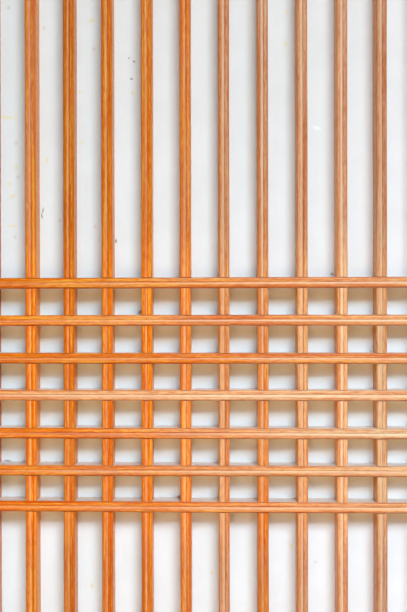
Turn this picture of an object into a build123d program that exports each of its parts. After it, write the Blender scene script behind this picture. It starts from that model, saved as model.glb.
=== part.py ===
from build123d import *
import os

# Lattice window: a hinged wooden sash with a paper-backed lattice, in its own frame.
# Millimetres. X runs along the width, Z up, and the outside face looks towards -Y.
# The origin is the middle of the sill's underside, at half the frame's depth.

# Lattice bars
BAR_WIDTH = 14.0
BAR_DEPTH = 24.0
EDGE_WIDTH = 3.0
EDGE_DROP = 1.8
GROOVE_WIDTH = 3.4
GROOVE_DEPTH = 0.7
UPRIGHT_COUNT = 10
UPRIGHT_PITCH = 50.0
CROSS_COUNT = 7
CROSS_PITCH = 48.0
SIDE_BAY = 37.5
BAY_ABOVE = 418.5
BAY_BELOW = 178.5
LAP_DEPTH = 12.0

# Stub tenons on the bars' ends
BAR_TENON_WIDTH = 7.0
BAR_TENON_DEPTH = 12.0
BAR_TENON_LENGTH = 18.0

# Sash
SASH_THICKNESS = 33.0
STILE_WIDTH = 58.0
TOP_RAIL_HEIGHT = 58.0
BOTTOM_RAIL_HEIGHT = 58.0
SASH_CHAMFER = 4.0
RAIL_TENON_THICKNESS = 11.0
RAIL_TENON_SHOULDER = 9.0
SASH_PEG_SIDE = 7.0

# Paper
PAPER_THICKNESS = 0.3
PAPER_LAP = 12.0
PAPER_EDGE_GAP = 0.5
PAPER_RECESS = 1.0

# Frame
FRAME_DEPTH = 90.0
JAMB_FACE = 48.0
HEAD_FACE = 48.0
SILL_FACE = 60.0
STOP_WIDTH = 12.0
SASH_GAP = 2.0
SEAT_GAP = 0.3
JAMB_TENON_WIDTH = 28.0
JAMB_TENON_DEPTH = 30.0
FRAME_PEG_SIDE = 9.0

# Forged pintle hinges
KNUCKLE_RADIUS = 7.5
KNUCKLE_HEIGHT = 28.0
KNUCKLE_STANDOFF = 0.5
PIN_RADIUS = 3.9
PIN_LENGTH = 24.0
PIN_CLEARANCE = 0.1
TANG_THICKNESS = 3.0
TANG_ROOT = 18.0
TANG_TIP = 6.0
TANG_REACH = 28.0
HINGE_INSET = 150.0

# Ring pull
PLATE_RADIUS = 20.0
PLATE_THICKNESS = 1.2
PULL_HEIGHT = 470.0
RING_RADIUS = 27.0
RING_WIRE_RADIUS = 3.25
EYE_CLEARANCE = 0.55
EYE_WIRE_RADIUS = 2.5
SHANK_SIDE = 5.0
CLINCH_LENGTH = 14.0
CLINCH_THICKNESS = 2.0

# Overall layout, worked out from the sizes above
opening_width = 2 * SIDE_BAY + (UPRIGHT_COUNT - 1) * UPRIGHT_PITCH + BAR_WIDTH
opening_height = BAY_BELOW + (CROSS_COUNT - 1) * CROSS_PITCH + BAR_WIDTH + BAY_ABOVE
sash_width = opening_width + 2 * STILE_WIDTH
sash_height = opening_height + TOP_RAIL_HEIGHT + BOTTOM_RAIL_HEIGHT

front = -FRAME_DEPTH / 2
back = FRAME_DEPTH / 2
sash_back = front + SASH_THICKNESS
stop_front = sash_back + SEAT_GAP
lattice_back = sash_back - PAPER_RECESS

sash_bottom = SILL_FACE + SASH_GAP
sash_top = sash_bottom + sash_height
opening_bottom = sash_bottom + BOTTOM_RAIL_HEIGHT
opening_top = sash_top - TOP_RAIL_HEIGHT
rebate_half = sash_width / 2 + SASH_GAP
rebate_top = sash_top + SASH_GAP
frame_half = rebate_half + JAMB_FACE
frame_top = rebate_top + HEAD_FACE
jamb_bottom = SILL_FACE + STOP_WIDTH
jamb_top = rebate_top - STOP_WIDTH

hinge_x = -(sash_width + SASH_GAP) / 2
hinge_y = front - KNUCKLE_STANDOFF - KNUCKLE_RADIUS
pull_x = (opening_width + STILE_WIDTH) / 2
pull_z = sash_bottom + PULL_HEIGHT


def block(x0, x1, y0, y1, z0, z1):
    """A box between two corners."""
    centre = Pos((x0 + x1) / 2, (y0 + y1) / 2, (z0 + z1) / 2)
    return centre * Box(abs(x1 - x0), abs(y1 - y0), abs(z1 - z0))


def upright_places():
    """The x of each upright bar's centre, left to right."""
    first = -(UPRIGHT_COUNT - 1) * UPRIGHT_PITCH / 2
    return [first + i * UPRIGHT_PITCH for i in range(UPRIGHT_COUNT)]


def cross_places():
    """The z of each cross bar's centre, bottom to top."""
    first = opening_bottom + BAY_BELOW + BAR_WIDTH / 2
    return [first + i * CROSS_PITCH for i in range(CROSS_COUNT)]


def bar_section():
    """A square back and two flat beads, rounded outside; local y runs from the back to the front."""
    half = BAR_WIDTH / 2
    crest = half - EDGE_WIDTH
    shoulder = BAR_DEPTH - EDGE_DROP
    groove = (0, BAR_DEPTH - GROOVE_DEPTH)
    outline = [Line((-half, 0), (half, 0))]
    for side in (1, -1):
        outline += [
            Line((side * half, 0), (side * half, shoulder)),
            TangentArc((side * crest, BAR_DEPTH), (side * half, shoulder), tangent=(side, 0)),
            Line((side * crest, BAR_DEPTH), (side * GROOVE_WIDTH / 2, BAR_DEPTH)),
            Line((side * GROOVE_WIDTH / 2, BAR_DEPTH), groove),
        ]
    return make_face(outline)


def tenon_span():
    """The y span of a bar's tenon, at the middle of the bar's depth."""
    middle = lattice_back - BAR_DEPTH / 2
    return middle - BAR_TENON_DEPTH / 2, middle + BAR_TENON_DEPTH / 2


def upright_tenon(x, low, high):
    y0, y1 = tenon_span()
    half = BAR_TENON_WIDTH / 2
    return block(x - half, x + half, y0, y1, low, high)


def cross_tenon(z, left, right):
    y0, y1 = tenon_span()
    half = BAR_TENON_WIDTH / 2
    return block(left, right, y0, y1, z - half, z + half)


def upright_tenons(x):
    """The two stub tenons of the upright at x, one in each rail."""
    low = upright_tenon(x, opening_bottom - BAR_TENON_LENGTH, opening_bottom)
    high = upright_tenon(x, opening_top, opening_top + BAR_TENON_LENGTH)
    return [low, high]


def cross_tenons(z):
    """The two stub tenons of the cross bar at z, one in each stile."""
    edge = opening_width / 2
    left = cross_tenon(z, -edge - BAR_TENON_LENGTH, -edge)
    right = cross_tenon(z, edge, edge + BAR_TENON_LENGTH)
    return [left, right]


def upright_bar(x):
    """An upright, halved from the front where each cross bar passes over it."""
    top_plane = Plane(origin=(x, lattice_back, opening_top), x_dir=(1, 0, 0), z_dir=(0, 0, -1))
    bar = extrude(top_plane * bar_section(), amount=opening_height)
    lap_face = lattice_back - LAP_DEPTH
    half = BAR_WIDTH / 2
    for z in cross_places():
        bar -= block(x - half, x + half, lattice_back - BAR_DEPTH, lap_face, z - half, z + half)
    for tenon in upright_tenons(x):
        bar += tenon
    return bar


def cross_bar(z):
    """A cross bar, halved from the back where it passes over each upright."""
    end_plane = Plane(origin=(-opening_width / 2, lattice_back, z), x_dir=(0, 0, 1), z_dir=(1, 0, 0))
    bar = extrude(end_plane * bar_section(), amount=opening_width)
    lap_face = lattice_back - LAP_DEPTH
    half = BAR_WIDTH / 2
    for x in upright_places():
        bar -= block(x - half, x + half, lap_face, lattice_back, z - half, z + half)
    for tenon in cross_tenons(z):
        bar += tenon
    return bar


def moulded_section(width):
    """A stile's or rail's section; local x runs from its outer edge to its chamfered inner one."""
    corners = [
        (0, 0),
        (width, 0),
        (width, SASH_THICKNESS - SASH_CHAMFER),
        (width - SASH_CHAMFER, SASH_THICKNESS),
        (0, SASH_THICKNESS),
    ]
    return make_face(Polyline(*corners, close=True))


def paper_recess():
    """The shallow recess in the back of the stiles and rails that the sheet is pasted into."""
    half = opening_width / 2 + PAPER_LAP
    low, high = opening_bottom - PAPER_LAP, opening_top + PAPER_LAP
    return block(-half, half, lattice_back, sash_back, low, high)


def rail_tenon(side, low, high):
    """A rail's through tenon in the stile on one side, between its shoulders."""
    middle = front + SASH_THICKNESS / 2
    y0, y1 = middle - RAIL_TENON_THICKNESS / 2, middle + RAIL_TENON_THICKNESS / 2
    z0, z1 = low + RAIL_TENON_SHOULDER, high - RAIL_TENON_SHOULDER
    return block(side * opening_width / 2, side * sash_width / 2, y0, y1, z0, z1)


def rail_spans():
    """The z spans of the bottom and the top rail."""
    return [(sash_bottom, opening_bottom), (opening_top, sash_top)]


def sash_pegs():
    """One square peg through each corner joint of the sash."""
    half = SASH_PEG_SIDE / 2
    pegs = []
    for side in (-1, 1):
        x = side * (opening_width + STILE_WIDTH) / 2
        for low, high in rail_spans():
            z = (low + high) / 2
            pegs.append(block(x - half, x + half, front, sash_back, z - half, z + half))
    return pegs


def plain_stile(side):
    """A stile before its mortises are cut."""
    plane = Plane(origin=(side * sash_width / 2, sash_back, 0), x_dir=(-side, 0, 0), z_dir=(0, 0, side))
    start = sash_bottom if side > 0 else -sash_top
    face = Pos(0, 0, start) * moulded_section(STILE_WIDTH)
    return extrude(plane * face, amount=sash_height)


def stile(side, fittings):
    body = plain_stile(side) - paper_recess()
    for low, high in rail_spans():
        body -= rail_tenon(side, low, high)
    for z in cross_places():
        for tenon in cross_tenons(z):
            body -= tenon
    for cutter in sash_pegs() + fittings:
        body -= cutter
    return body


def rail(low, high, outer, upward):
    """A rail between the stiles, its ends scribed over their chamfers; outer is its outer edge's z."""
    reach = opening_width / 2 + SASH_CHAMFER
    plane = Plane(origin=(-upward * reach, sash_back, outer), x_dir=(0, 0, upward), z_dir=(upward, 0, 0))
    body = extrude(plane * moulded_section(high - low), amount=2 * reach)
    body -= paper_recess()
    for side in (-1, 1):
        body -= plain_stile(side)
        body += rail_tenon(side, low, high)
    for x in upright_places():
        for tenon in upright_tenons(x):
            body -= tenon
    for peg in sash_pegs():
        body -= peg
    return body


def paper_sheet():
    """One sheet pasted over the backs of the bars, into the sash's recess."""
    lap = PAPER_LAP - PAPER_EDGE_GAP
    half = opening_width / 2 + lap
    low, high = opening_bottom - lap, opening_top + lap
    return block(-half, half, lattice_back, lattice_back + PAPER_THICKNESS, low, high)


def jamb_tenon(side, low, high):
    """A jamb's through tenon, in the middle of its face."""
    centre = side * (rebate_half + JAMB_FACE / 2)
    half = JAMB_TENON_WIDTH / 2
    return block(centre - half, centre + half, -JAMB_TENON_DEPTH / 2, JAMB_TENON_DEPTH / 2, low, high)


def frame_pegs():
    """One square peg through each of the frame's four tenons."""
    half = FRAME_PEG_SIDE / 2
    pegs = []
    for side in (-1, 1):
        x = side * (rebate_half + JAMB_FACE / 2)
        for z in (jamb_bottom / 2, (jamb_top + frame_top) / 2):
            pegs.append(block(x - half, x + half, front, back, z - half, z + half))
    return pegs


def cut_frame_joints(member):
    """Cuts the jambs' mortises and the peg holes out of the head or the sill."""
    for side in (-1, 1):
        member -= jamb_tenon(side, 0, jamb_bottom)
        member -= jamb_tenon(side, jamb_top, frame_top)
    for peg in frame_pegs():
        member -= peg
    return member


def head():
    """The head, with the rebate that the sash shuts into."""
    member = block(-frame_half, frame_half, front, back, jamb_top, frame_top)
    member -= block(-rebate_half, rebate_half, front, stop_front, jamb_top, rebate_top)
    return cut_frame_joints(member)


def sill():
    """The sill, with the rebate that the sash shuts into."""
    member = block(-frame_half, frame_half, front, back, 0, jamb_bottom)
    member -= block(-rebate_half, rebate_half, front, stop_front, SILL_FACE, jamb_bottom)
    return cut_frame_joints(member)


def jamb(side, fittings):
    inner = side * (rebate_half - STOP_WIDTH)
    member = block(inner, side * frame_half, front, back, jamb_bottom, jamb_top)
    member -= block(inner, side * rebate_half, front, stop_front, jamb_bottom, jamb_top)
    member += jamb_tenon(side, 0, jamb_bottom)
    member += jamb_tenon(side, jamb_top, frame_top)
    for cutter in frame_pegs() + fittings:
        member -= cutter
    return member


def hinge_levels():
    """The z of the joint between socket and pintle, for the upper and the lower hinge."""
    return {"upper": sash_top - HINGE_INSET, "lower": sash_bottom + HINGE_INSET}


def tang(side, middle):
    """The flat spike of a knuckle, driven into the wood on one side of the hinge line."""
    outer = hinge_x + side * KNUCKLE_RADIUS
    root, tip = TANG_ROOT / 2, TANG_TIP / 2
    corners = [
        (hinge_y, middle - root),
        (front, middle - root),
        (front + TANG_REACH, middle - tip),
        (front + TANG_REACH, middle + tip),
        (front, middle + root),
        (hinge_y, middle + root),
    ]
    face = make_face(Polyline(*[(outer, y, z) for y, z in corners], close=True))
    return extrude(face, amount=TANG_THICKNESS, dir=(-side, 0, 0))


def knuckle(low):
    axis = Pos(hinge_x, hinge_y, low + KNUCKLE_HEIGHT / 2)
    return axis * Cylinder(KNUCKLE_RADIUS, KNUCKLE_HEIGHT)


def hinge_socket(level):
    """The half on the jamb: a tube below the joint level, with its tang."""
    low = level - KNUCKLE_HEIGHT
    middle = level - KNUCKLE_HEIGHT / 2
    bore = Pos(hinge_x, hinge_y, middle) * Cylinder(PIN_RADIUS + PIN_CLEARANCE, KNUCKLE_HEIGHT)
    return knuckle(low) + tang(-1, middle) - bore


def hinge_pintle(level):
    """The half on the sash: a knuckle above the joint level, with its tang and the pin below it."""
    middle = level + KNUCKLE_HEIGHT / 2
    pin = Pos(hinge_x, hinge_y, level - PIN_LENGTH / 2) * Cylinder(PIN_RADIUS, PIN_LENGTH)
    return knuckle(level) + tang(1, middle) + pin


def eye_centre_y():
    """How far forward the eye's centre stands, so that the eye just bears on the plate."""
    return front - PLATE_THICKNESS - eye_radius() - EYE_WIRE_RADIUS


def eye_radius():
    """The radius of the eye's centre line."""
    return RING_WIRE_RADIUS + EYE_CLEARANCE + EYE_WIRE_RADIUS


def shank():
    """The staple's shank, from the eye to the back of the stile."""
    half = SHANK_SIDE / 2
    start = eye_centre_y() + eye_radius()
    return block(pull_x - half, pull_x + half, start, sash_back, pull_z - half, pull_z + half)


def pull_staple():
    """An eye on a shank through plate and stile, clinched up and down on the back."""
    eye = Pos(pull_x, eye_centre_y(), pull_z) * Rot(0, 90, 0) * Torus(eye_radius(), EYE_WIRE_RADIUS)
    half = SHANK_SIDE / 2
    clinch = block(
        pull_x - half,
        pull_x + half,
        sash_back,
        sash_back + CLINCH_THICKNESS,
        pull_z - CLINCH_LENGTH,
        pull_z + CLINCH_LENGTH,
    )
    return eye + shank() + clinch


def pull_plate():
    """The round backing plate, with a square hole for the staple's shank."""
    place = Pos(pull_x, front - PLATE_THICKNESS / 2, pull_z) * Rot(90, 0, 0)
    return place * Cylinder(PLATE_RADIUS, PLATE_THICKNESS) - shank()


def pull_ring():
    """The ring, hanging plumb in the eye."""
    place = Pos(pull_x, eye_centre_y(), pull_z - RING_RADIUS) * Rot(90, 0, 0)
    return place * Torus(RING_RADIUS, RING_WIRE_RADIUS)


def make_lattice():
    parts = {f"upright_bar_{i:02d}": upright_bar(x) for i, x in enumerate(upright_places(), start=1)}
    parts.update({f"cross_bar_{i}": cross_bar(z) for i, z in enumerate(cross_places(), start=1)})
    return parts


def make_sash():
    upper, lower = hinge_levels().values()
    middle = KNUCKLE_HEIGHT / 2
    pintle_tangs = [tang(1, upper + middle), tang(1, lower + middle)]
    (bottom_low, bottom_high), (top_low, top_high) = rail_spans()
    return {
        "hinge_stile": stile(-1, pintle_tangs),
        "pull_stile": stile(1, [shank()]),
        "bottom_rail": rail(bottom_low, bottom_high, bottom_low, 1),
        "top_rail": rail(top_low, top_high, top_high, -1),
        "sash_pegs": Compound(sash_pegs()),
        "paper_sheet": paper_sheet(),
    }


def make_frame():
    upper, lower = hinge_levels().values()
    middle = KNUCKLE_HEIGHT / 2
    socket_tangs = [tang(-1, upper - middle), tang(-1, lower - middle)]
    return {
        "frame_head": head(),
        "frame_sill": sill(),
        "frame_hinge_jamb": jamb(-1, socket_tangs),
        "frame_pull_jamb": jamb(1, []),
        "frame_pegs": Compound(frame_pegs()),
    }


def make_hardware():
    parts = {"pull_plate": pull_plate(), "pull_staple": pull_staple(), "pull_ring": pull_ring()}
    for name, level in hinge_levels().items():
        parts[f"{name}_hinge_socket"] = hinge_socket(level)
        parts[f"{name}_hinge_pintle"] = hinge_pintle(level)
    return parts


def main():
    os.makedirs("parts", exist_ok=True)
    parts = make_lattice() | make_sash() | make_frame() | make_hardware()
    for name, shape in parts.items():
        export_step(shape, f"parts/{name}.step")


main()
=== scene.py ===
import math

import bmesh
import bpy
from mathutils import Matrix, Vector, noise


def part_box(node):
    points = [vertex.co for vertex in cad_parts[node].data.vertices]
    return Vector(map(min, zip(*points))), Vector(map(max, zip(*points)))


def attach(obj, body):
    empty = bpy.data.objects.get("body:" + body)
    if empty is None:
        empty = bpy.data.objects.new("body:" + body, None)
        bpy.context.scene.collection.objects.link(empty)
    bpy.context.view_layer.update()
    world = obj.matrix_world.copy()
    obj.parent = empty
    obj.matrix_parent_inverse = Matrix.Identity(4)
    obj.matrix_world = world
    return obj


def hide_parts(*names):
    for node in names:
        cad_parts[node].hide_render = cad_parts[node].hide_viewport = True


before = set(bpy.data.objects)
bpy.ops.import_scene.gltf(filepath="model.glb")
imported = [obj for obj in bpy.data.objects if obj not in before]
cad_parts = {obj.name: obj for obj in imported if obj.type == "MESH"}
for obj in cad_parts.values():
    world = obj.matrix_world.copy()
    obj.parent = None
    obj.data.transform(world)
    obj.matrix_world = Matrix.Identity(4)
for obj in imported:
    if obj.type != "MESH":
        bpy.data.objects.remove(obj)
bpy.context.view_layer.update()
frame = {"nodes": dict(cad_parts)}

MM = 0.001
AXES = "xyz"

# The lattice's measures, read from the frame
UPRIGHTS = sorted(n for n in frame["nodes"] if n.startswith("upright_bar_"))
CROSSES = sorted(n for n in frame["nodes"] if n.startswith("cross_bar_"))
BAR_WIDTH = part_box(UPRIGHTS[0])[1].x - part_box(UPRIGHTS[0])[0].x
BAR_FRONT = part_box(UPRIGHTS[0])[0].y
BAR_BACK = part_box(UPRIGHTS[0])[1].y
BAR_DEPTH = BAR_BACK - BAR_FRONT
LEFT_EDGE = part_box("hinge_stile")[1].x
RIGHT_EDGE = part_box("pull_stile")[0].x
LOWER_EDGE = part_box("bottom_rail")[1].z
UPPER_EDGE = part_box("top_rail")[0].z

# The bars' section
EDGE_WIDTH = 3.0 * MM
EDGE_DROP = 1.8 * MM
CROWN_SAG = 0.12 * MM
CROWN_PLACE = 0.4
GROOVE_HALF = 1.7 * MM
GROOVE_DEPTH = 0.7 * MM
LAP_DEPTH = 12 * MM
JOINT_GAP = 0.12 * MM
TENON_WIDTH = 7 * MM
TENON_DEPTH = 12 * MM
STATION_STEP = 6 * MM

# Where a bead has points, from 0 at the bar's edge to 1 in the groove, and where its lip with its painted
# highlight and its rim with its painted shade lie
BEAD_PLACES = (0, 0.02, 0.06, 0.12, 0.2, 0.3, 0.42, 0.55, 0.68, 0.78, 0.85, 0.93)
PAINTED_HIGHLIGHT_SPAN = (0.45, 0.75)
EDGE_SHADE_END = 0.25
RIGHT_EDGE_SHADE = 0.6
# The layers on the bars' points; the lip layer carries a painted highlight and the rim layer painted shade
# on the edges
LAYERS = ("groove", "painted_highlight", "flank", "dust", "edge_shade")

# Meshes
WELD_REACH = 0.002 * MM
SHARP_ANGLE = math.radians(32)

# How far the hand-set bars stray from even spacing: uprights left to right, cross bars bottom to top
UPRIGHT_STRAY = [s * MM for s in (0, -0.5, -0.8, 0.5, 0.4, 0, 0, 0.4, 1.3, 1.5)]
CROSS_STRAY = [s * MM for s in (-0.2, -1.6, -1.4, -0.4, -0.8, 0.1, 0.6)]
FIRST_CROSS_SEED = 31

# How far the hand-planed bars stray from straight, as (wavelength, amount), and where their noise is read
WANDER = (0.19, 0.3 * MM)
WIDTH_STRAY = (0.11, 0.14 * MM)
GROOVE_STRAY = (0.13, 0.2 * MM)
HEIGHT_STRAY = (0.16, 0.1 * MM)
GROOVE_SHIFT = 0.85 * MM
SEED_STEP = 7.31
NOISE_LEVEL = 0.37

# The band of cross bars
BAND_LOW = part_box(CROSSES[0])[0].z
BAND_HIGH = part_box(CROSSES[-1])[1].z
BAND_MIDDLE = (BAND_LOW + BAND_HIGH) / 2
BAND_HALF = (BAND_HIGH - BAND_LOW) / 2

# The camera, as the bars' places and visible sides in the photograph put it; the eye is given from the
# crossing of the lattice's middle and the band's middle
PHOTO_WIDTH = 407
PHOTO_HEIGHT = 612
FOCAL_PIXELS = 812.5
EYE_RIGHT = 29 * MM
EYE_RISE = 117 * MM
EYE_DISTANCE = 1043 * MM
CAMERA_TURN = math.radians(1.66)
CAMERA_TILT = math.radians(-0.13)
CAMERA_ROLL = math.radians(-0.11)
SENSOR = 36.0


def middle(node):
    low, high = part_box(node)
    return (low + high) / 2


def clamp(value, low, high):
    return max(low, min(high, value))


def linear(red, green, blue):
    """A colour given in everyday 0 to 255 values."""
    values = []
    for c in (red, green, blue):
        c = c / 255
        values.append(c / 12.92 if c <= 0.04045 else ((c + 0.055) / 1.055) ** 2.4)
    return (*values, 1)


def stray(seed, place, kind):
    """A smooth random offset along a bar, the same on every run."""
    wavelength, amount = kind
    return amount * noise.noise(Vector((place / wavelength, seed * SEED_STEP, NOISE_LEVEL)))


class Bar:
    """A bar with the small strays of hand work, each kind on seeds of its own."""

    def __init__(self, node, seed, across, shift):
        self.node = node
        self.seed = seed
        self.centre = getattr(middle(node), across) + shift

    def line(self, w):
        return self.centre + stray(self.seed, w, WANDER)

    def half(self, w):
        return BAR_WIDTH / 2 + stray(self.seed + 100, w, WIDTH_STRAY)

    def groove(self, w):
        return GROOVE_SHIFT + stray(self.seed + 200, w, GROOVE_STRAY)

    def crest(self, w):
        return BAR_DEPTH + stray(self.seed + 300, w, HEIGHT_STRAY) - HEIGHT_STRAY[1]

    def lap(self, w):
        """The span that this bar takes out of one that crosses it at w."""
        half = self.half(w) + JOINT_GAP
        return self.line(w) - half, self.line(w) + half


def bead_drop(t):
    """How far a bead lies below its crest, with t from 0 at the bar's edge to 1 in the groove."""
    place = t * BAR_WIDTH / 2
    crown = (place - EDGE_WIDTH) / (BAR_WIDTH / 2 - EDGE_WIDTH) - CROWN_PLACE
    drop = CROWN_SAG * crown * crown
    if place < EDGE_WIDTH:
        outward = 1 - place / EDGE_WIDTH
        drop += EDGE_DROP * (1 - math.sqrt(1 - outward * outward))
    inward = place - (BAR_WIDTH / 2 - GROOVE_HALF)
    if inward > 0:
        drop += GROOVE_DEPTH * inward / GROOVE_HALF
    return drop


def bead_marks(side, t):
    """The layers that a bead's point is in, and how far; side is 1 on the right or upper bead, else -1."""
    if t == 0:
        return {"flank": 1, "dust": 1 if side > 0 else 0}
    # The bead's outer edge gets painted shade, in full on the uprights' left and the cross bars' lower
    # edges and less on the opposite edges
    if t < EDGE_SHADE_END:
        return {"edge_shade": RIGHT_EDGE_SHADE if side > 0 else 1}
    # The lit side of the groove gets a painted highlight on its lip
    if side < 0:
        return {"painted_highlight": clamp((t - PAINTED_HIGHLIGHT_SPAN[0]) / (PAINTED_HIGHLIGHT_SPAN[1] - PAINTED_HIGHLIGHT_SPAN[0]), 0, 1)}
    return {}


def section(bar, w):
    """The bar's outline at w, as points of (across, depth from the back, marks)."""
    half, groove, crest = bar.half(w), bar.groove(w), bar.crest(w)
    tenon = TENON_WIDTH / 2
    low = (BAR_DEPTH - TENON_DEPTH) / 2
    high = low + TENON_DEPTH
    feet = [(-half, 0), (-tenon, 0), (tenon, 0), (half, 0), (half, low), (half, high)]
    points = [(*foot, {"flank": 1, "dust": 1 if foot[0] == half else 0}) for foot in feet]
    for side in (1, -1):
        places = BEAD_PLACES if side > 0 else reversed(BEAD_PLACES)
        for t in places:
            across = side * half + (groove - side * half) * t
            points.append((across, crest - bead_drop(t), bead_marks(side, t)))
        if side > 0:
            points.append((groove, crest - bead_drop(1), {"groove": 1}))
    return points + [(-half, high, {"flank": 1}), (-half, low, {"flank": 1})]


def stations(start, end, laps, lap_limits, tenons):
    """Places along a bar as (w, widest, lowest, highest), to clamp the section to its tenon or lap."""
    full = (1, 0, 1)
    tenon = (TENON_WIDTH / 2, (BAR_DEPTH - TENON_DEPTH) / 2, (BAR_DEPTH + TENON_DEPTH) / 2)
    made = [(tenons[0], *tenon), (start, *tenon)]
    edges = [start]
    for low, high in laps:
        edges += [low, high]
    edges.append(end)
    for i, (a, b) in enumerate(zip(edges, edges[1:])):
        limits = lap_limits if i % 2 else full
        count = max(1, round((b - a) / STATION_STEP))
        made += [(a + (b - a) * k / count, *limits) for k in range(count + 1)]
    made += [(end, *tenon), (tenons[1], *tenon)]
    return made


def finish_mesh(bm, name):
    """Welds a new mesh, marks its sharp edges and makes its object."""
    bmesh.ops.remove_doubles(bm, verts=bm.verts, dist=WELD_REACH)
    bmesh.ops.dissolve_degenerate(bm, edges=bm.edges, dist=WELD_REACH)
    bmesh.ops.recalc_face_normals(bm, faces=bm.faces)
    for face in bm.faces:
        face.smooth = True
    for edge in bm.edges:
        edge.smooth = edge.is_manifold and edge.calc_face_angle() < SHARP_ANGLE
    mesh = bpy.data.meshes.new(name)
    bm.to_mesh(mesh)
    bm.free()
    piece = bpy.data.objects.new(name, mesh)
    bpy.context.scene.collection.objects.link(piece)
    return piece


def make_bar(bar, places, put):
    """Skins the bar's section over its stations; put(w, across, depth) gives the point in the scene."""
    bm = bmesh.new()
    layers = {name: bm.verts.layers.float.new(name) for name in LAYERS}
    rings = []
    for w, widest, lowest, highest in places:
        ring = []
        for u, v, marks in section(bar, w):
            point = bm.verts.new(put(w, clamp(u, -widest, widest), clamp(v, lowest, highest)))
            for mark, value in marks.items():
                point[layers[mark]] = value
            ring.append(point)
        rings.append(ring)
    for first, second in zip(rings, rings[1:]):
        for i in range(len(first)):
            j = (i + 1) % len(first)
            bm.faces.new((first[i], first[j], second[j], second[i]))
    bm.faces.new(rings[0])
    bm.faces.new(rings[-1])
    return finish_mesh(bm, bar.node + "_wood")


def make_lattice():
    """Every bar, halved where it crosses the others."""
    uprights = [Bar(n, i + 1, "x", UPRIGHT_STRAY[i]) for i, n in enumerate(UPRIGHTS)]
    crosses = [Bar(n, i + FIRST_CROSS_SEED, "z", CROSS_STRAY[i]) for i, n in enumerate(CROSSES)]
    made = {}
    for bar in uprights:
        laps = [other.lap(bar.centre) for other in crosses]
        low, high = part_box(bar.node)
        places = stations(LOWER_EDGE, UPPER_EDGE, laps, (1, 0, LAP_DEPTH), (low.z, high.z))
        made[bar.node] = make_bar(bar, places, lambda w, u, v: (bar.line(w) + u, BAR_BACK - v, w))
    for bar in crosses:
        laps = [other.lap(bar.centre) for other in uprights]
        low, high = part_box(bar.node)
        places = stations(LEFT_EDGE, RIGHT_EDGE, laps, (1, LAP_DEPTH, 1), (low.x, high.x))
        made[bar.node] = make_bar(bar, places, lambda w, u, v: (w, BAR_BACK - v, bar.line(w) + u))
    for node, piece in made.items():
        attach(piece, "sash")
        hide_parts(node)
    return made


# Paper
PAPER_STEP = 3.5 * MM
PAPER_PUFF = 0.35 * MM
PUFF_RISE = 12 * MM
PUFF_WAVES = 38
# How far below each cross bar the painted warm shade reaches
PAINTED_SHADE_REACH = 14 * MM
MOTTLE_WAVES = (22, 22, 22)
UPRIGHT_FIBRES = (900, 900, 90)
LEVEL_FIBRES = (110, 900, 900)
FIBRE_SPAN = (0.55, 0.75, 0, 0.4)
PAPER_BUMP = 0.08 * MM
PAPER_LIGHT = linear(237, 240, 242)
PAPER_SHADE = linear(232, 235, 236)
PAPER_STRAND = linear(226, 224, 218)

# Tints that multiply the paper's colour, all painted light and shade: painted shade upwards and to the
# right, painted light in the right-hand margin, a painted cool light in the band that cancels the warm
# light thrown back by the bars, and painted warm shade under the cross bars; and the spans over which the
# first three come in and the fourth goes out
UPWARD_SHADE_TINT = (0.92, 0.855, 0.79, 1)
UPWARD_SHADE_SPAN = (0.35, 1.1)
SIDE_TINT = (1.01, 0.945, 0.94, 1)
SIDE_SPAN = (-0.22, 0.22)
MARGIN_TINT = (1.05, 1.055, 1.06, 1)
MARGIN_SPAN = (0.22, 0.235)
BAND_TINT = (1.01, 1.04, 1.035, 1)
BAND_EDGE = (-2 * MM, 6 * MM)
PAINTED_SHADE_TINT = (1.0, 0.89, 0.6, 1)

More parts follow.
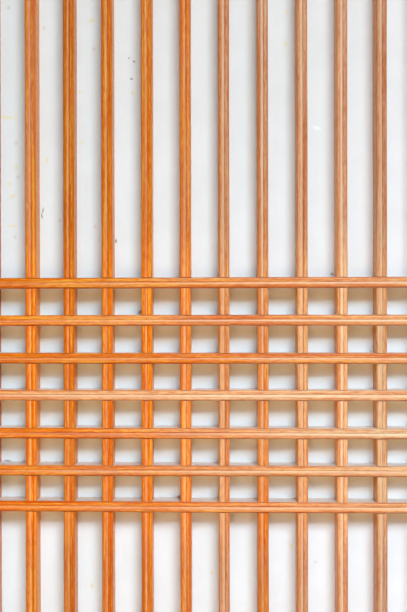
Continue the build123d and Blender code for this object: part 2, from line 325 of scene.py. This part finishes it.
# Marks on the paper, stains and one painted highlight: each tone's colour and strength, then each mark's
# tone, place in the photograph, half widths in pixels, and lean in degrees
MARK_TONES = {
    "yellow": ((232, 212, 118), 0.5),
    "rust": ((206, 152, 112), 0.32),
    "dark": ((92, 62, 40), 0.75),
    # A painted highlight on the paper
    "white_highlight": ((255, 255, 252), 0.5),
}
PAPER_MARKS = (
    ("yellow", 7, 117.5, 9, 2, 8), ("yellow", 13, 196, 4, 1.8, -30), ("yellow", 10, 184, 2.5, 2, 0),
    ("yellow", 12, 226, 5, 1.2, 0), ("yellow", 16, 167, 1.8, 3, 0), ("yellow", 47, 160, 1.6, 3.2, 0),
    ("yellow", 91, 20.5, 3.6, 2, -10), ("yellow", 80, 92, 2.4, 1.6, 0),
    ("yellow", 82, 142, 2, 1.8, 0), ("yellow", 287, 12, 1.8, 2.4, 0),
    ("yellow", 285, 44, 2.2, 2.6, 0), ("yellow", 291, 546, 1.8, 4, 0),
    ("yellow", 212, 572.5, 1.8, 1.8, 0), ("yellow", 92, 586, 1.8, 3, 0),
    ("yellow", 133, 93, 1.8, 2.2, 0), ("rust", 9, 8, 2.4, 2, 0), ("rust", 16, 143, 2.2, 3, 20),
    ("rust", 44, 28, 1.8, 2.6, 0), ("rust", 94, 49, 1.6, 2.2, 0), ("rust", 18, 177, 2, 2, 0),
    ("rust", 15, 237, 1.6, 2.6, -20), ("rust", 59.5, 220.5, 1.8, 1.8, 0),
    ("rust", 315.5, 562, 1.8, 1.5, 0), ("rust", 95, 227, 1.5, 2.5, 0),
    ("dark", 43, 210.5, 0.8, 3.2, 12), ("dark", 42, 216, 0.8, 2.8, -8),
    ("dark", 129, 58, 1.1, 0.9, 0), ("dark", 134, 61.5, 1.2, 1.2, 0),
    ("dark", 131.5, 79, 1.5, 1.1, 0), ("dark", 116, 241, 1.1, 2.4, 0),
    ("dark", 140.5, 312, 3.4, 2.2, -35), ("dark", 179.5, 496.5, 3.2, 1.5, -15),
    ("dark", 8, 461, 4.4, 1.1, 8), ("dark", 332, 274, 1.6, 1.2, 0), ("white_highlight", 317, 128, 4.6, 2, 25),
)
MARK_FADE = (0.2, 1.3)
MARK_DEPTH = 1000
WOBBLE = 1.6 * MM
WOBBLE_WAVES = 420.0


def camera_matrix():
    """Where the camera stands and how it is turned."""
    eye = Vector((EYE_RIGHT, BAR_FRONT - EYE_DISTANCE, BAND_MIDDLE + EYE_RISE))
    turn = Matrix.Rotation(CAMERA_TURN, 4, "Z") @ Matrix.Rotation(math.pi / 2 + CAMERA_TILT, 4, "X")
    return Matrix.Translation(eye) @ turn @ Matrix.Rotation(CAMERA_ROLL, 4, "Z")


def photo_place(x, y):
    """The x and z on the paper that the photograph shows at a pixel."""
    view = camera_matrix()
    across, up = (x - PHOTO_WIDTH / 2) / FOCAL_PIXELS, (PHOTO_HEIGHT / 2 - y) / FOCAL_PIXELS
    ray = view.to_3x3() @ Vector((across, up, -1))
    reach = (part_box("paper_sheet")[0].y - view.translation.y) / ray.y
    seen = view.translation + ray * reach
    return seen.x, seen.z


def grid_lines(low, high, step):
    count = round((high - low) / step)
    return [low + (high - low) * i / count for i in range(count + 1)]


def bay(value, lines):
    """0 on a bar, and up to 1 in the space beside it."""
    near = min(abs(value - line) for line in lines)
    return clamp((near - BAR_WIDTH / 2) / PUFF_RISE, 0, 1)


def painted_shade_at(z):
    """How strongly the painted warm shade under the cross bars shows on the paper at a height."""
    below = [middle(n).z - BAR_WIDTH / 2 - z for n in CROSSES]
    return max(clamp(1 - abs(drop - PAINTED_SHADE_REACH / 2) / PAINTED_SHADE_REACH, 0, 1) for drop in below)


def paper_face(bm, y, columns, levels):
    """Adds one face of the sheet, with columns as (x, bay) and levels as (z, bay, painted shade), and
    returns its points, column by column."""
    painted_shade_layer = bm.verts.layers.float["painted_shade"]
    rows = []
    for x, bay_x in columns:
        row = []
        for z, bay_z, painted_shade in levels:
            wave = noise.noise(Vector((x, z, 3.1)) * PUFF_WAVES)
            puff = PAPER_PUFF * bay_x * bay_z * (0.9 * wave - 0.1)
            point = bm.verts.new((x, y + puff * bay_x, z))
            point[painted_shade_layer] = painted_shade
            row.append(point)
        rows.append(row)
    for left, right in zip(rows, rows[1:]):
        for j in range(len(left) - 1):
            bm.faces.new((left[j], right[j], right[j + 1], left[j + 1]))
    return rows


def rim_of(rows):
    """The points round a grid's edge, in order."""
    bottom = [row[0] for row in rows]
    right = rows[-1][1:]
    top = [row[-1] for row in reversed(rows[:-1])]
    left = list(reversed(rows[0][1:-1]))
    return bottom + right + top + left


def make_paper():
    """The sheet, pasted to the bars' backs and a little slack between them."""
    low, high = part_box("paper_sheet")
    upright_lines = [middle(n).x for n in UPRIGHTS] + [low.x, high.x]
    cross_lines = [middle(n).z for n in CROSSES] + [low.z, high.z]
    columns = [(x, bay(x, upright_lines)) for x in grid_lines(low.x, high.x, PAPER_STEP)]
    levels = [(z, bay(z, cross_lines), painted_shade_at(z)) for z in grid_lines(low.z, high.z, PAPER_STEP)]
    bm = bmesh.new()
    bm.verts.layers.float.new("painted_shade")
    front, back = (rim_of(paper_face(bm, y, columns, levels)) for y in (low.y, high.y))
    for i in range(len(front)):
        j = (i + 1) % len(front)
        bm.faces.new((front[i], front[j], back[j], back[i]))
    piece = finish_mesh(bm, "pasted_paper")
    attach(piece, "sash")
    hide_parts("paper_sheet")
    return piece


# Materials
class Tree:
    """A material's nodes, each added in one call."""

    def __init__(self, name):
        self.material = bpy.data.materials.new(name)
        self.material.use_nodes = True
        self.nodes = self.material.node_tree.nodes
        self.links = self.material.node_tree.links
        self.nodes.clear()

    def add(self, kind, inputs=None, **settings):
        node = self.nodes.new("ShaderNode" + kind)
        for key, value in settings.items():
            setattr(node, key, value)
        for key, value in (inputs or {}).items():
            if isinstance(value, bpy.types.NodeSocket):
                self.links.new(value, node.inputs[key])
            else:
                node.inputs[key].default_value = value
        return node

    def place(self):
        return self.add("TexCoord").outputs["Object"]

    def split(self, place):
        """A place's X, Y and Z by name."""
        return self.add("SeparateXYZ", {"Vector": place}).outputs

    def layer(self, name):
        """A value kept on the mesh's points."""
        return self.add("Attribute", attribute_name=name).outputs["Fac"]

    def noise(self, place, scale, offset=(0, 0, 0), detail=3.0, roughness=0.5, distortion=0.0):
        mapped = self.add("Mapping", {"Vector": place, "Scale": scale, "Location": offset})
        made = self.add(
            "TexNoise",
            {
                "Vector": mapped.outputs[0],
                "Scale": 1.0,
                "Detail": detail,
                "Roughness": roughness,
                "Distortion": distortion,
            },
        )
        return made.outputs["Fac"]

    def spread(self, value, low, high, to_low=0.0, to_high=1.0):
        """value carried from low..high to to_low..to_high, clamped."""
        made = self.add(
            "MapRange",
            {"Value": value, "From Min": low, "From Max": high, "To Min": to_low, "To Max": to_high},
        )
        return made.outputs[0]

    def math(self, operation, first, second):
        return self.add("Math", {0: first, 1: second}, operation=operation).outputs[0]

    def mix(self, factor, first, second, blend="MIX"):
        made = self.add("Mix", {0: factor, 6: first, 7: second}, data_type="RGBA", blend_type=blend)
        return made.outputs[2]

    def tint(self, factor, base, colour):
        """base where factor is 0 and base times the colour where it is 1."""
        return self.mix(factor, base, self.mix(1.0, base, colour, "MULTIPLY"))

    def bump(self, height, strength, distance):
        made = self.add("Bump", {"Height": height, "Strength": strength, "Distance": distance})
        return made.outputs[0]

    def finish(self, **inputs):
        """The surface shader; the keywords are its sockets, with underscores for spaces."""
        named = {key.replace("_", " "): value for key, value in inputs.items()}
        shader = self.add("BsdfPrincipled", named)
        self.add("OutputMaterial", {"Surface": shader.outputs[0]})
        return self.material


def along(axis, scale, coarse=1.0):
    """A scale vector from waves along the grain's axis and across it; coarse makes it wider across."""
    length, width = scale
    return tuple(length if a == axis else width / coarse for a in AXES)


def in_band(tree, height, start, end):
    """1 in the band of cross bars and 0 away from it, changing from start to end beyond its edge."""
    reach = tree.math("ABSOLUTE", tree.math("SUBTRACT", height, BAND_MIDDLE), 0.0)
    return tree.spread(reach, BAND_HALF + start, BAND_HALF + end, 1, 0)


# The wood's colours, oiled and weathered
PINE_LIGHT = linear(226, 143, 54)
PINE_MID = linear(213, 101, 8)
PINE_DARK = linear(192, 70, 0)
RESIN = linear(168, 60, 4)
PALE_LIGHT = linear(212, 188, 170)
PALE_DARK = linear(188, 126, 82)
PALE_STRENGTH = 0.85

# The lattice's colours by the marks of its section, and how strongly each one shows. The rim and groove
# colours are painted shade, the edge colour is painted shade on less weathered wood, the lip colour is a
# painted highlight, and the band's factor is painted light.
PAINTED_EDGE_SHADE = linear(150, 66, 22)
UPRIGHT_EDGE_SHADE_AND_WEAR = linear(204, 112, 32)
EDGE_SHADE_STRENGTH = 0.5
PINE_FLANK = linear(234, 152, 60)
FLANK_STRENGTH = 0.5
DUST = linear(206, 198, 190)
DUST_STRENGTH = 0.8
# A painted highlight on the groove's lit lip, stronger on paler bars
PAINTED_HIGHLIGHT_COLOUR = linear(250, 216, 180)
PAINTED_HIGHLIGHT_STRENGTHS = (0.14, 0.45)
# Painted shade in the grooves' bottoms
GROOVE_PAINTED_SHADE = linear(104, 44, 18)
GROOVE_SHADE_STRENGTH = 0.6
# Painted light: the bars are brighter inside the band of cross bars, fading out beyond it
BAND_PAINTED_LIGHT = (1.29, 1.29, 1.08, 1)
BAND_FADE = 70 * MM

# The grain's parts, in waves for each metre along it and across it, where the noise for a seed is read,
# and the parts' shares in the grain's tone
RINGS = (2.4, 340)
STREAKS = (16, 440)
FIBRES = (90, 640)
BLOTCHES = (7, 90)
FLECKS = (60, 560)
GRAIN_STEPS = (3.17, 5.71, 1.93)
RING_SHARE = 0.34
STREAK_SHARE = 0.34
FIBRE_SHARE = 0.32

# The spans of tone over which oiled wood turns from light to mid and to dark, and weathered wood darkens
MID_SPAN = (0.42, 0.49)
DARK_SPAN = (0.5, 0.58)
PALE_SPAN = (0.42, 0.58)

# What the grain's parts do, as (low, high, at low, at high)
BLOTCH_LIGHT = (0.4, 0.66, 0.0, 0.15)
BLOTCH_BLEACH = (0.3, 0.7, -0.1, 0.1)
STREAK_BLEACH = (0.35, 0.65, -0.13, 0.13)
FLECK_RESIN = (0.62, 0.72, 0, 0.35)
FIBRE_ROUGHNESS = (0.3, 0.7, 0.24, 0.36)
WOOD_SHINE = 0.14
WOOD_BUMP = 0.15 * MM


def grain(tree, place, axis, seed, coarse):
    """The parts of the grain that the colours follow, by name; tone is the whole."""
    shift = tuple(seed * step for step in GRAIN_STEPS)
    turned = shift[2:] + shift[:2]
    rings = tree.noise(place, along(axis, RINGS, coarse), shift, detail=2, roughness=0.6)
    streak = tree.noise(place, along(axis, STREAKS, coarse), shift, detail=3, roughness=0.6)
    fibre = tree.noise(place, along(axis, FIBRES), shift, detail=3, roughness=0.65)
    rings_part = tree.math("MULTIPLY", rings, RING_SHARE)
    tone = tree.math("ADD", rings_part, tree.math("MULTIPLY", streak, STREAK_SHARE))
    tone = tree.math("ADD", tone, tree.math("MULTIPLY", fibre, FIBRE_SHARE))
    return {
        "tone": tone,
        "streak": streak,
        "fibre": fibre,
        "blotch": tree.noise(place, along(axis, BLOTCHES, coarse), shift, detail=2),
        "fleck": tree.noise(place, along(axis, FLECKS), turned, detail=2),
    }


def weathering(tree, along_bar, parts, pale, slope):
    """How far the wood has weathered: pale at the bar's middle and slope more for each metre along it."""
    blotches = tree.spread(parts["blotch"], *BLOTCH_BLEACH)
    bleach = tree.math("ADD", blotches, tree.spread(parts["streak"], *STREAK_BLEACH))
    bleach = tree.math("ADD", bleach, tree.math("MULTIPLY", along_bar, slope))
    return tree.spread(tree.math("ADD", bleach, pale), 0, 1)


def wear_and_painted_light(tree, axis, height, paleness, base):
    """What only the lattice shows: painted light in the band, painted shade on the edges, which on the
    uprights are also less weathered, painted highlights on the lips, dust and painted shade in the
    grooves.
    """
    # Painted light that brightens the bars inside the band
    base = tree.tint(in_band(tree, height, 0, BAND_FADE), base, BAND_PAINTED_LIGHT)
    # Painted shade on the bars' edges; on the uprights the edge colour is also less weathered wood
    edge = UPRIGHT_EDGE_SHADE_AND_WEAR if axis == "z" else PAINTED_EDGE_SHADE
    base = tree.mix(tree.spread(tree.layer("edge_shade"), 0, 1, 0, EDGE_SHADE_STRENGTH), base, edge)
    base = tree.mix(tree.spread(tree.layer("flank"), 0, 1, 0, FLANK_STRENGTH), base, PINE_FLANK)
    if axis == "x":
        base = tree.mix(tree.spread(tree.layer("dust"), 0, 1, 0, DUST_STRENGTH), base, DUST)
    # Painted highlight on the lip on the lit side of the groove
    painted_highlight = tree.math("MULTIPLY", tree.layer("painted_highlight"), tree.spread(paleness, 0, 0.6, *PAINTED_HIGHLIGHT_STRENGTHS))
    base = tree.mix(painted_highlight, base, PAINTED_HIGHLIGHT_COLOUR)
    # Painted shade in the grooves
    return tree.mix(tree.spread(tree.layer("groove"), 0.2, 1, 0, GROOVE_SHADE_STRENGTH), base, GROOVE_PAINTED_SHADE)


def wood(name, axis, seed, pale=0.0, slope=0.0, shade=1.0, coarse=1.0, lattice=False):
    """Oiled pine with its grain along an axis, paler with age and brighter or darker by its shade."""
    tree = Tree(name)
    place = tree.place()
    parts = grain(tree, place, axis, seed, coarse)
    tone = parts["tone"]
    base = tree.mix(tree.spread(tone, *MID_SPAN), PINE_LIGHT, PINE_MID)
    base = tree.mix(tree.spread(tone, *DARK_SPAN), base, PINE_DARK)
    base = tree.mix(tree.spread(parts["blotch"], *BLOTCH_LIGHT), base, PINE_LIGHT)
    position = tree.split(place)
    middle_place = BAND_MIDDLE if axis == "z" else 0
    along_bar = tree.math("SUBTRACT", position[axis.upper()], middle_place)
    paleness = weathering(tree, along_bar, parts, pale, slope)
    weathered = tree.mix(tree.spread(tone, *PALE_SPAN), PALE_LIGHT, PALE_DARK)
    base = tree.mix(paleness, base, tree.mix(PALE_STRENGTH, base, weathered))
    base = tree.mix(tree.spread(parts["fleck"], *FLECK_RESIN), base, RESIN)
    if lattice:
        base = wear_and_painted_light(tree, axis, position["Z"], paleness, base)
    if shade != 1.0:
        base = tree.mix(1.0, base, (shade, shade, shade, 1), "MULTIPLY")
    height = tree.math("ADD", parts["fibre"], parts["streak"])
    return tree.finish(
        Base_Color=base,
        Roughness=tree.spread(parts["fibre"], *FIBRE_ROUGHNESS),
        Specular_IOR_Level=WOOD_SHINE,
        Normal=tree.bump(height, 0.2, WOOD_BUMP),
    )


def stains_and_highlight(tree, place, base):
    """The paper's colour with its marks, each a small blot with a wavering edge."""
    pixel = (EYE_DISTANCE + BAR_DEPTH) / FOCAL_PIXELS
    waves = tree.add("TexNoise", {"Vector": place, "Scale": WOBBLE_WAVES, "Detail": 2.0})
    wavering = {0: waves.outputs["Color"], 1: (WOBBLE,) * 3, 2: place}
    place = tree.add("VectorMath", wavering, operation="MULTIPLY_ADD").outputs[0]
    for tone, (colour, strength) in MARK_TONES.items():
        for kind, x, y, across, up, lean in PAPER_MARKS:
            if kind != tone:
                continue
            spot_x, spot_z = photo_place(x, y)
            mapped = tree.add(
                "Mapping",
                {
                    "Vector": place,
                    "Location": (spot_x + WOBBLE / 2, 0, spot_z + WOBBLE / 2),
                    "Rotation": (0, math.radians(lean), 0),
                    "Scale": (across * pixel, MARK_DEPTH, up * pixel),
                },
                vector_type="TEXTURE",
            )
            away = tree.add("VectorMath", {0: mapped.outputs[0]}, operation="LENGTH").outputs["Value"]
            base = tree.mix(tree.spread(away, *MARK_FADE, strength, 0), base, linear(*colour))
    return base


def paper():
    """Handmade paper, a little darker and warmer upwards and to the right, as in the photograph."""
    tree = Tree("mulberry_paper")
    place = tree.place()
    mottle = tree.noise(place, MOTTLE_WAVES, detail=4)
    upright = tree.noise(place, UPRIGHT_FIBRES, detail=4, roughness=0.7, distortion=1.5)
    level = tree.noise(place, LEVEL_FIBRES, (5, 3, 1), detail=4, roughness=0.7, distortion=1.5)
    strands = tree.math("MAXIMUM", upright, level)
    base = tree.mix(tree.spread(mottle, 0.3, 0.7), PAPER_LIGHT, PAPER_SHADE)
    base = tree.mix(tree.spread(strands, *FIBRE_SPAN), base, PAPER_STRAND)
    position = tree.split(place)
    # Painted shade: darker and warmer upwards
    base = tree.tint(tree.spread(position["Z"], *UPWARD_SHADE_SPAN), base, UPWARD_SHADE_TINT)
    # Painted shade: a little darker and warmer to the right
    base = tree.tint(tree.spread(position["X"], *SIDE_SPAN), base, SIDE_TINT)
    # Painted light in the right-hand margin
    base = tree.tint(tree.spread(position["X"], *MARGIN_SPAN), base, MARGIN_TINT)
    # Painted cool light in the band that cancels the warm light thrown back by the bars
    base = tree.tint(in_band(tree, position["Z"], *BAND_EDGE), base, BAND_TINT)
    # Painted warm shade under the cross bars
    base = tree.tint(tree.layer("painted_shade"), base, PAINTED_SHADE_TINT)
    return tree.finish(
        Base_Color=stains_and_highlight(tree, place, base),
        Roughness=0.85,
        Specular_IOR_Level=0.2,
        Normal=tree.bump(strands, 0.25, PAPER_BUMP),
    )


# Iron
HAMMER_WAVES = (260, 260, 260)
GRIT_WAVES = (1400, 1400, 1400)
RUST_WAVES = (120, 120, 120)
IRON_DARK = linear(38, 35, 33)
IRON_LIGHT = linear(66, 60, 56)
RUST = linear(112, 62, 36)
RUST_COVER = (0.55, 0.72, 0, 0.65)
RUST_ROUGHNESS = (0.45, 0.75, 0.42, 0.75)
IRON_BUMP = 0.6 * MM


def iron():
    """Black forged iron with hammer marks and a little rust."""
    tree = Tree("forged_iron")
    place = tree.place()
    hammer = tree.noise(place, HAMMER_WAVES, detail=2)
    grit = tree.noise(place, GRIT_WAVES, detail=4, roughness=0.7)
    rust = tree.noise(place, RUST_WAVES, (4, 4, 4), detail=5, roughness=0.7)
    base = tree.mix(grit, IRON_DARK, IRON_LIGHT)
    base = tree.mix(tree.spread(rust, *RUST_COVER), base, RUST)
    height = tree.math("ADD", hammer, tree.math("MULTIPLY", grit, 0.25))
    return tree.finish(
        Base_Color=base,
        Metallic=0.6,
        Roughness=tree.spread(rust, *RUST_ROUGHNESS),
        Normal=tree.bump(height, 0.6, IRON_BUMP),
    )


def plain(name, colour):
    """A matt, even material for the stage."""
    tree = Tree(name)
    grit = tree.noise(tree.place(), (60, 60, 60), detail=3)
    tint = tuple(c * 0.96 for c in colour[:3])
    base = tree.mix(grit, colour, (*tint, 1))
    return tree.finish(Base_Color=base, Roughness=0.9, Specular_IOR_Level=0.1)


# How pale each upright is at the band's middle, how much paler for each metre upwards, and how bright,
# left to right; then the same for each cross bar at its middle, paler to the right, bottom to top
UPRIGHT_PALENESS = (0.0, -0.14, -0.08, -0.1, 0.07, 0.41, 0.26, 0.46, 0.62, 0.65)
UPRIGHT_SLOPE = (0.3, 0.1, -0.15, 0.0, 0.05, -0.05, 0.75, 0.15, 0.2, -0.15)
UPRIGHT_SHADE = (1.06, 0.9, 0.98, 1.0, 1.04, 0.92, 0.92, 0.93, 1.02, 0.86)
CROSS_PALENESS = (0.21, 0.35, 0.39, 0.61, 0.13, 0.25, 0.18)
CROSS_SLOPE = (1.4, 1.25, 2.0, 0.8, 1.0, 0.75, 1.15)
CROSS_SHADE = (0.95, 0.93, 0.97, 1.03, 0.92, 0.97, 0.91)

# The sash's and the frame's looks as (paleness, shade), and how coarse their grain is beside the bars'
SASH_LOOK = (0.36, 0.95)
FRAME_LOOK = (0.42, 0.86)
BOARD_GRAIN = 2.2
PEG_SHADE = 0.55
FIRST_BOARD_SEED = 61
FIRST_PEG_SEED = 81
ARRIS = 0.8 * MM
ARRIS_ANGLE = math.radians(40)

# Words in the names of the iron nodes
IRONWORK = ("hinge_socket", "hinge_pintle", "pull_plate", "pull_staple", "pull_ring")


def paint(piece, material):
    piece.data.materials.clear()
    piece.data.materials.append(material)


def soften(node):
    """Rounds a CAD node's arrises a little, as planing and handling do."""
    weld = node.modifiers.new("weld", "WELD")
    weld.merge_threshold = WELD_REACH
    bevel = node.modifiers.new("bevel", "BEVEL")
    bevel.width = ARRIS
    bevel.segments = 2
    bevel.limit_method = "ANGLE"
    bevel.angle_limit = ARRIS_ANGLE
    bevel.harden_normals = True


def dress_lattice(bars):
    looks = zip(UPRIGHTS, UPRIGHT_PALENESS, UPRIGHT_SLOPE, UPRIGHT_SHADE)
    for i, (node, pale, slope, shade) in enumerate(looks):
        paint(bars[node], wood(node + "_pine", "z", i + 1, pale, slope, shade, lattice=True))
    looks = zip(CROSSES, CROSS_PALENESS, CROSS_SLOPE, CROSS_SHADE)
    for i, (node, pale, slope, shade) in enumerate(looks):
        seed = i + FIRST_CROSS_SEED
        paint(bars[node], wood(node + "_pine", "x", seed, pale, slope, shade, lattice=True))


def dress_joinery():
    nodes = frame["nodes"]
    upright_members = ("hinge_stile", "pull_stile", "frame_hinge_jamb", "frame_pull_jamb")
    level_members = ("top_rail", "bottom_rail", "frame_head", "frame_sill")
    for axis, members in (("z", upright_members), ("x", level_members)):
        for i, name in enumerate(members):
            pale, shade = FRAME_LOOK if name.startswith("frame") else SASH_LOOK
            seed = FIRST_BOARD_SEED + i
            paint(nodes[name], wood(name + "_pine", axis, seed, pale, shade=shade, coarse=BOARD_GRAIN))
            soften(nodes[name])
    for i, name in enumerate(("sash_pegs", "frame_pegs")):
        paint(nodes[name], wood(name + "_pine", "y", FIRST_PEG_SEED + i, shade=PEG_SHADE))


def dress_ironwork():
    metal = iron()
    for name, node in frame["nodes"].items():
        if any(word in name for word in IRONWORK):
            paint(node, metal)


# The floor, and the flags with the gap between them, in metres
FLOOR_REACH = 4.0
FLOOR_COLOUR = linear(226, 222, 216)
FLAG_PLACE = -1.5
FLAG_GAP = (-0.1, 1.1)
FLAG_REACH = 2.2
FLAG_SPAN = (0.5, 3.2)
FLAG_COLOUR = linear(40, 40, 40)

# The lights, all aimed at the heart of the lattice; the key's rise, side and span go by its distance
HEART = (0, BAR_BACK, BAND_MIDDLE + 70 * MM)
KEY_DISTANCE = 3.0
KEY_RISE = 0.97
KEY_SIDE = 0.3
KEY_SPAN = (1.1, 0.44)
KEY_COLOUR = (0.635, 0.845, 1.0)
KEY_POWER = 17.8
LOW_PLACE = (-0.08, -0.8, 0.04)
LOW_SIZE = (1.2, 0.5)
LOW_COLOUR = (1.0, 0.74, 0.4)
LOW_POWER = 2.95
BACK_PLACE = (-1.2, 2.6, 1.9)
BACK_SIZE = (2.0, 2.0)
BACK_COLOUR = (1.0, 0.98, 0.95)
BACK_POWER = 40
AIR_COLOUR = (1.0, 0.75, 0.35, 1)
AIR_STRENGTH = 0.258
BACKDROP = linear(226, 224, 220)


def make_camera():
    data = bpy.data.cameras.new("camera")
    camera = bpy.data.objects.new("camera", data)
    bpy.context.scene.collection.objects.link(camera)
    camera.matrix_world = camera_matrix()
    data.sensor_width = SENSOR
    data.lens = FOCAL_PIXELS / PHOTO_HEIGHT * SENSOR
    data.clip_start = 0.01
    bpy.context.scene.camera = camera
    bpy.context.scene.view_settings.view_transform = "Standard"


def make_floor():
    bm = bmesh.new()
    corners = ((-1, -1), (1, -1), (1, 1), (-1, 1))
    bm.faces.new([bm.verts.new((x * FLOOR_REACH, y * FLOOR_REACH, 0)) for x, y in corners])
    floor = finish_mesh(bm, "floor")
    paint(floor, plain("pale_floor", FLOOR_COLOUR))


def make_flags():
    """Two upright flags that let the key through a gap, so that its direction turns along the lattice."""
    black = plain("flag_cloth", FLAG_COLOUR)
    left, right = FLAG_GAP
    low, high = FLAG_SPAN
    flags = (("left_flag", left, left - FLAG_REACH), ("right_flag", right, right + FLAG_REACH))
    for name, near, far in flags:
        bm = bmesh.new()
        corners = ((near, low), (far, low), (far, high), (near, high))
        bm.faces.new([bm.verts.new((x, FLAG_PLACE, z)) for x, z in corners])
        flag = finish_mesh(bm, name)
        flag.visible_camera = False
        paint(flag, black)


def area_light(name, place, size, colour, power):
    """A rectangular light aimed at the heart of the lattice and unseen itself."""
    data = bpy.data.lights.new(name, "AREA")
    data.shape = "RECTANGLE"
    data.size, data.size_y = size
    data.color = colour
    data.energy = power
    lamp = bpy.data.objects.new(name, data)
    bpy.context.scene.collection.objects.link(lamp)
    lamp.location = place
    lamp.rotation_euler = (Vector(HEART) - Vector(place)).to_track_quat("-Z", "Y").to_euler()
    lamp.visible_camera = False
    return data


def even_falloff(data):
    """Makes a light as strong near by as far off, like a piece of open sky."""
    data.use_nodes = True
    nodes = data.node_tree.nodes
    falloff = nodes.new("ShaderNodeLightFalloff")
    falloff.inputs["Strength"].default_value = 1.0
    data.node_tree.links.new(falloff.outputs["Constant"], nodes["Emission"].inputs["Strength"])


def make_light():
    """A broad light above to the right, a warm one from the ground in front and a soft one behind."""
    key_place = (KEY_SIDE * KEY_DISTANCE, -KEY_DISTANCE, HEART[2] + KEY_RISE * KEY_DISTANCE)
    key_size = [span * KEY_DISTANCE for span in KEY_SPAN]
    even_falloff(area_light("key", key_place, key_size, KEY_COLOUR, KEY_POWER))
    area_light("low", LOW_PLACE, LOW_SIZE, LOW_COLOUR, LOW_POWER)
    area_light("back", BACK_PLACE, BACK_SIZE, BACK_COLOUR, BACK_POWER)


def make_air():
    """Warm air that lights the part from all round, and a pale backdrop that only the camera sees."""
    world = bpy.data.worlds.new("studio")
    world.use_nodes = True
    nodes, links = world.node_tree.nodes, world.node_tree.links
    air = nodes["Background"]
    air.inputs["Color"].default_value = AIR_COLOUR
    air.inputs["Strength"].default_value = AIR_STRENGTH
    backdrop = nodes.new("ShaderNodeBackground")
    backdrop.inputs["Color"].default_value = BACKDROP
    seen = nodes.new("ShaderNodeMixShader")
    links.new(nodes.new("ShaderNodeLightPath").outputs["Is Camera Ray"], seen.inputs[0])
    links.new(air.outputs[0], seen.inputs[1])
    links.new(backdrop.outputs[0], seen.inputs[2])
    links.new(seen.outputs[0], nodes["World Output"].inputs[0])
    bpy.context.scene.world = world


bars = make_lattice()
sheet = make_paper()
dress_lattice(bars)
paint(sheet, paper())
dress_joinery()
dress_ironwork()
make_camera()
make_floor()
make_flags()
make_light()
make_air()
